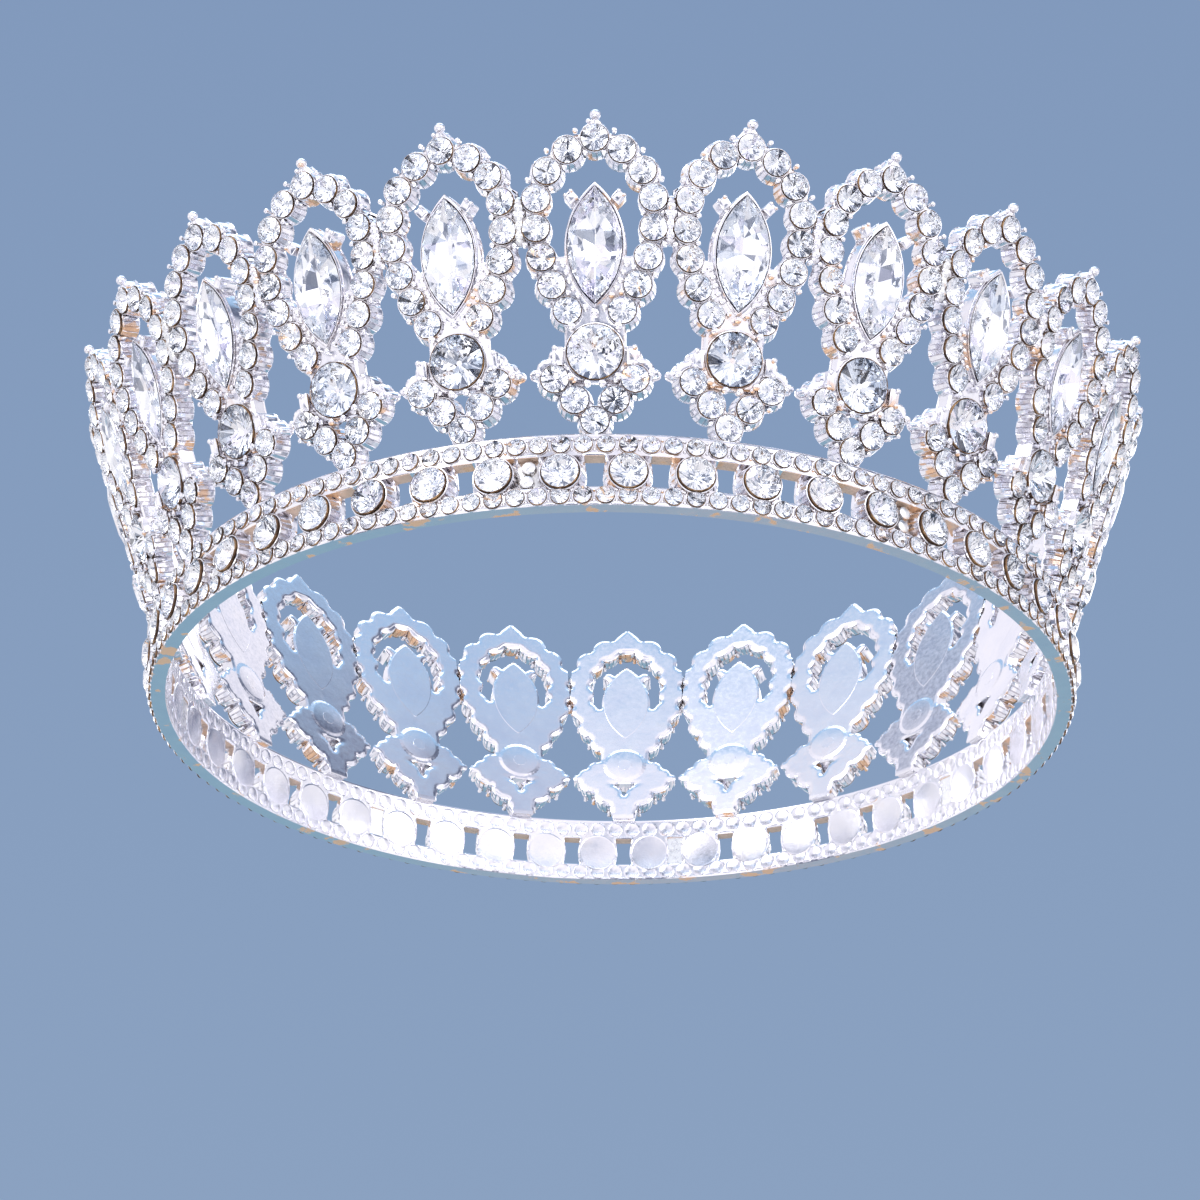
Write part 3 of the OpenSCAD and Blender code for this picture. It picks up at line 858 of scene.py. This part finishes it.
def tie(k):
    """Round-ended fillet that ties an arch to the next one, with a bead at each end."""
    fl = math.radians(FLARE)
    r = (GIRDLE_R + TIE_LO * math.sin(fl) - 0.6 * math.cos(fl)) / math.cos(math.radians(PITCH / 2))
    lean = math.atan(math.tan(fl) / math.cos(math.radians(PITCH / 2)))
    ln = (TIE_HI - TIE_LO) * math.cos(fl) / math.cos(lean)
    prof = [(0, -0.75), (0.3, -0.7), (0.6, -0.45), (0.78, 0)]
    for j in range(4):  # four cast swellings along it
        z = (j + 0.5) * ln / 4
        prof += [(0.66, z - 0.42), (0.8, z - 0.2), (0.8, z + 0.2), (0.66, z + 0.42)]
    prof += [(0.78, ln), (0.6, ln + 0.45), (0.3, ln + 0.7), (0, ln + 0.75)]
    return lathe(prof, 14).at(R(k * PITCH, "Z") @ T(0, -r, BAND_H + TIE_LO * math.cos(fl) + 0.6 * math.sin(fl)) @ R(math.degrees(lean), "X"))


for s in range(8):
    parts, ring_parts = [], [wall.at(R((PER_SEG * s + 1) * PITCH, "Z"))]
    for k in range(PER_SEG):
        kk = PER_SEG * s + k
        parts += moved(metal_sector, R(kk * PITCH, "Z"))
        ring_parts += moved(beads, R(kk * PITCH, "Z"))
        if k < PER_SEG - 1:
            parts.append(tie(kk + 0.5))
    name = f"segment_{s + 1}"
    for label, pp in (("motifs", parts), ("band", ring_parts)):
        ob = make(f"{label}_{s + 1}", pp, [silver, ceiling_reflection])
        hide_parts(name)
        if s == 0:
            print(label, "triangles", sum(len(p.vertices) - 2 for p in ob.data.polygons))

# solder at the joints
parts = [tie(3 * s - 0.5) for s in range(8)]
ob = make("tie_beads", parts, [solder])
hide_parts("arch_tie_solder")
parts = []
for s in range(8):
    m = band_place(3 * s - 0.5, RAIL_LO + SLOT_H / 2, BAND_R - BAND_T + 0.2)
    parts.append(rounded_box(SLOT_W + 0.6, SLOT_H + 0.1, 0, 0.85, r=0.1).at(m))
    # the two half lugs that the solder joins, one above the other
    lug = lathe([(0, 0.5), (0.95, 0.5), (1.0, 0.7), (0.95, 1.35), (0.86, 1.6), (0.6, 1.72), (0, 1.76)], 24, ribs=(10, 0.14, 1, 3))
    parts += [lug.at(m @ T(0.12, 0.95, 0)), lug.at(m @ T(-0.12, -1.0, -0.1))]
ob = make("joint_solder", parts, [solder])
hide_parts("band_joint_solder")

# ---------------------------------------------------------------- stones
small = [cut_stone(SMALL_D, 1.5, 0.55, table=0.54, skirt=0.16), edge_ring(SMALL_D / 2, 0.055, -0.34, 0.04)]
rail_s = [cut_stone(RAIL_D, 0.95, 0.4, table=0.5, lower=False, skirt=0.1), edge_ring(RAIL_D / 2, 0.075, -0.3, 0.06, 18)]
band_s = [cut_stone(BAND_D, 2.1, 0.75, table=0.54, skirt=0.2), edge_ring(BAND_D / 2, 0.09, -0.42, 0.06, 28)]
round_s = [cut_stone(ROUND_D, 2.6, 1.05, table=0.54, skirt=0.24), edge_ring(ROUND_D / 2, 0.1, -0.45, 0.06, 36)]
marq_s = cut_stone(2.0, 1.15, 1.0, table=0.42, lens=(MARQ_L, MARQ_W), skirt=0.12, keel=0.55)


def stones(name, node, parts):
    ob = make(name, parts, STONE_MATS, sharp=None)
    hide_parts(node)
    return ob


top, side, vo, vi, vf, rounds, marqs, band_p, lo, up = ([] for _ in range(10))
for k in range(MOTIFS):
    P = motif_place(k)
    for i, x, y in arch_stones():
        (top if i == 0 else side).extend(moved(spun(small), P @ T(x, y, PROUD_S)))
    for i, x, y in vee_stones():
        (vf if i == 0 else vi if abs(i) == 1 else vo).extend(moved(spun(small), P @ T(x, y, PROUD_S)))
    rounds += moved(spun(round_s, 0.8, ROUND), P @ T(0, ROUND_V, 0.05))
    q = with_tint(marq_s, LARGE).at(R(RNG.normal(0, 0.7), "X") @ R(RNG.normal(0, 0.9), "Y"))
    marqs.append(q.at(P @ T(0, MARQ_V, 0)))
    for c in (-0.25, 0.25):
        band_p += moved(spun(band_s, 1.2), band_place(k + c, CUP_Z, CUP_OUT + PROUD_B))
    for j in range(6):
        for z, lst in ((LO_Z, lo), (UP_Z, up)):
            lst += moved(spun(rail_s), band_place(k + (j - 2.5) / 6, z, BAND_R + PROUD_R))
stones("cut_arch_top", "arch_top_stones", top)
stones("cut_arch_side", "arch_side_stones", side)
stones("cut_vee_outer", "vee_outer_stones", vo)
stones("cut_vee_inner", "vee_inner_stones", vi)
stones("cut_vee_foot", "vee_foot_stones", vf)
stones("cut_centre_round", "centre_round_stones", rounds)
stones("cut_marquise", "marquise_stones", marqs)
stones("cut_band_round", "band_round_stones", band_p)
stones("cut_rail_lower", "lower_rail_stones", lo)
stones("cut_rail_upper", "upper_rail_stones", up)

# ---------------------------------------------------------------- camera
AZ, EL, DIST = math.radians(2.06), math.radians(-24.12), 0.4664
FOCAL = 3281.0 / 1200 * 36
PAN, TILT, ROLL = -0.0036, 0.0360, math.radians(0.67)
cpos = np.array([0, -DIST * math.cos(EL), DIST * math.sin(EL)])
fw = -cpos / np.linalg.norm(cpos)
rt = np.cross(fw, [0, 0, 1])
rt /= np.linalg.norm(rt)
upv = np.cross(rt, fw)
fw = fw + PAN * rt + TILT * upv
fw /= np.linalg.norm(fw)
rt = np.cross(fw, [0, 0, 1])
rt /= np.linalg.norm(rt)
upv = np.cross(rt, fw)
r2, u2 = math.cos(ROLL) * rt + math.sin(ROLL) * upv, -math.sin(ROLL) * rt + math.cos(ROLL) * upv
cam = bpy.data.cameras.new("camera")
cam.lens, cam.sensor_width = FOCAL, 36.0
cam.clip_start, cam.clip_end = 0.01, 100.0
co = bpy.data.objects.new("camera", cam)
bpy.context.scene.collection.objects.link(co)
M = Matrix.Identity(4)
for i, c in enumerate((r2, u2, -fw, cpos)):
    for j in range(3):
        M[j][i] = float(c[j])
co.matrix_world = Matrix.Rotation(AZ, 4, "Z") @ M
bpy.context.scene.camera = co

# ---------------------------------------------------------------- floor, backdrop and light
def floor():
    m, nt, bs = nodes_of("floor_paint")
    out = next(n for n in nt.nodes if n.type == "OUTPUT_MATERIAL")
    bs.inputs["Base Color"].default_value = (0.33, 0.38, 0.455, 1)
    bs.inputs["Roughness"].default_value = 0.7
    lp, geo = nt.nodes.new("ShaderNodeLightPath"), nt.nodes.new("ShaderNodeNewGeometry")
    sub = nt.nodes.new("ShaderNodeMath")
    sub.operation = "SUBTRACT"
    sub.inputs[0].default_value = 1.0
    nt.links.new(geo.outputs["Backfacing"], sub.inputs[1])
    mul = nt.nodes.new("ShaderNodeMath")
    mul.operation = "MULTIPLY"
    nt.links.new(lp.outputs["Is Camera Ray"], mul.inputs[0])
    nt.links.new(sub.outputs[0], mul.inputs[1])
    tr, mx = nt.nodes.new("ShaderNodeBsdfTransparent"), nt.nodes.new("ShaderNodeMixShader")
    nt.links.new(mul.outputs[0], mx.inputs[0])
    nt.links.new(tr.outputs[0], mx.inputs[1])
    nt.links.new(bs.outputs[0], mx.inputs[2])
    nt.links.new(mx.outputs[0], out.inputs[0])
    me = bpy.data.meshes.new("floor")
    z, w = -0.00095, 6.0
    me.from_pydata([(-w, -w, z), (w, -w, z), (w, w, z), (-w, w, z)], [], [(0, 1, 2, 3)])
    me.materials.append(m)
    ob = bpy.data.objects.new("floor", me)
    bpy.context.scene.collection.objects.link(ob)
    return ob


floor()


def area(name, loc, size, power, color=(1, 1, 1), target=(0, 0, 0.02)):
    l = bpy.data.lights.new(name, "AREA")
    l.shape, l.size, l.size_y = "RECTANGLE", size[0], size[1]
    l.energy, l.color = power, color
    o = bpy.data.objects.new(name, l)
    o.location = loc
    o.rotation_euler = (Vector(target) - Vector(loc)).to_track_quat("-Z", "Y").to_euler()
    o.visible_camera = False
    bpy.context.scene.collection.objects.link(o)
    return o


area("key", (-0.9, -1.0, 1.1), (0.9, 0.9), 8)
area("fill", (1.1, -0.9, 0.5), (0.8, 1.1), 3, (0.92, 0.95, 1.0))
area("front", (0.1, -1.5, 0.15), (1.4, 0.35), 2.5)
area("top", (0.0, 0.25, 1.4), (1.2, 1.0), 5)
area("rear", (0.2, 1.3, 0.7), (1.2, 0.5), 3, (0.95, 0.97, 1.0))
area("under", (-0.3, -0.9, -0.75), (0.8, 0.5), 2)

w = bpy.data.worlds.new("studio")
w.use_nodes = True
nt = w.node_tree
for x in list(nt.nodes):
    nt.nodes.remove(x)
wo = nt.nodes.new("ShaderNodeOutputWorld")
tc = nt.nodes.new("ShaderNodeTexCoord")
sep = nt.nodes.new("ShaderNodeSeparateXYZ")
nt.links.new(tc.outputs["Generated"], sep.inputs[0])


def towards(az, el, outer, inner):
    """1 within the inner angle of a direction, 0 beyond the outer one. Azimuth from +Y towards +X, all in degrees."""
    a, e = math.radians(az), math.radians(el)
    n = nt.nodes.new("ShaderNodeVectorMath")
    n.operation = "DOT_PRODUCT"
    n.inputs[1].default_value = (math.sin(a) * math.cos(e), math.cos(a) * math.cos(e), math.sin(e))
    nt.links.new(tc.outputs["Generated"], n.inputs[0])
    return unit(nt, n.outputs["Value"], math.cos(math.radians(outer)), math.cos(math.radians(inner)))


env = ramp(nt, unit(nt, sep.outputs[2], -1, 1), [(0.0, (0.8, 0.78, 0.82)), (0.25, (0.93, 0.92, 0.97)), (0.4, (1.06, 1.04, 1.09)), (0.56, (1.05, 1.03, 1.08)), (0.68, (0.85, 0.845, 0.9)), (0.8, (0.9, 0.885, 0.97)), (1.0, (0.94, 0.93, 1.02))])
# soft darker patches give the stones and the plating something to show
pn = nt.nodes.new("ShaderNodeTexNoise")
pn.inputs["Scale"].default_value = 2.1
pn.inputs["Detail"].default_value = 1.0
nt.links.new(tc.outputs["Generated"], pn.inputs["Vector"])
patches = ramp(nt, pn.outputs[0], [(0.0, (0.1, 0.12, 0.17)), (0.35, (0.16, 0.19, 0.26)), (0.4, (0.66, 0.71, 0.8)), (0.45, (1, 1, 1)), (0.6, (1.15, 1.15, 1.15))])
env = mixc(nt, 1.0, env, patches, "MULTIPLY")
env = mixc(nt, towards(0, -24, 42, 27), env, (0.26, 0.42, 0.54))
env = mixc(nt, towards(0, -24, 6, 2), env, (0.46, 0.46, 0.52))
env = mixc(nt, 1.0, env, ramp(nt, towards(180, -5, 75, 15), [(0.0, (1, 1, 1)), (1.0, (1.2, 1.18, 1.18))]), "MULTIPLY")
env = mixc(nt, towards(0, 80.6, 39.0, 35.5), env, (0.4, 0.61, 0.88))
bg_l, bg_c, lp, mx = nt.nodes.new("ShaderNodeBackground"), nt.nodes.new("ShaderNodeBackground"), nt.nodes.new("ShaderNodeLightPath"), nt.nodes.new("ShaderNodeMixShader")
nt.links.new(env, bg_l.inputs[0])
bg_l.inputs[1].default_value = 1.0
back = ramp(nt, unit(nt, sep.outputs[2], -0.2, 0.9), [(0.0, (0.31, 0.415, 0.57)), (1.0, (0.19, 0.285, 0.48))])
nt.links.new(back, bg_c.inputs[0])
nt.links.new(lp.outputs["Is Camera Ray"], mx.inputs[0])
nt.links.new(bg_l.outputs[0], mx.inputs[1])
nt.links.new(bg_c.outputs[0], mx.inputs[2])
nt.links.new(mx.outputs[0], wo.inputs[0])
bpy.context.scene.world = w
bpy.context.scene.view_settings.view_transform = "Standard"
bpy.context.scene.cycles.use_denoising = True
bpy.context.scene.cycles.max_bounces = 20
bpy.context.scene.cycles.glossy_bounces = 14
bpy.context.scene.cycles.transmission_bounces = 16
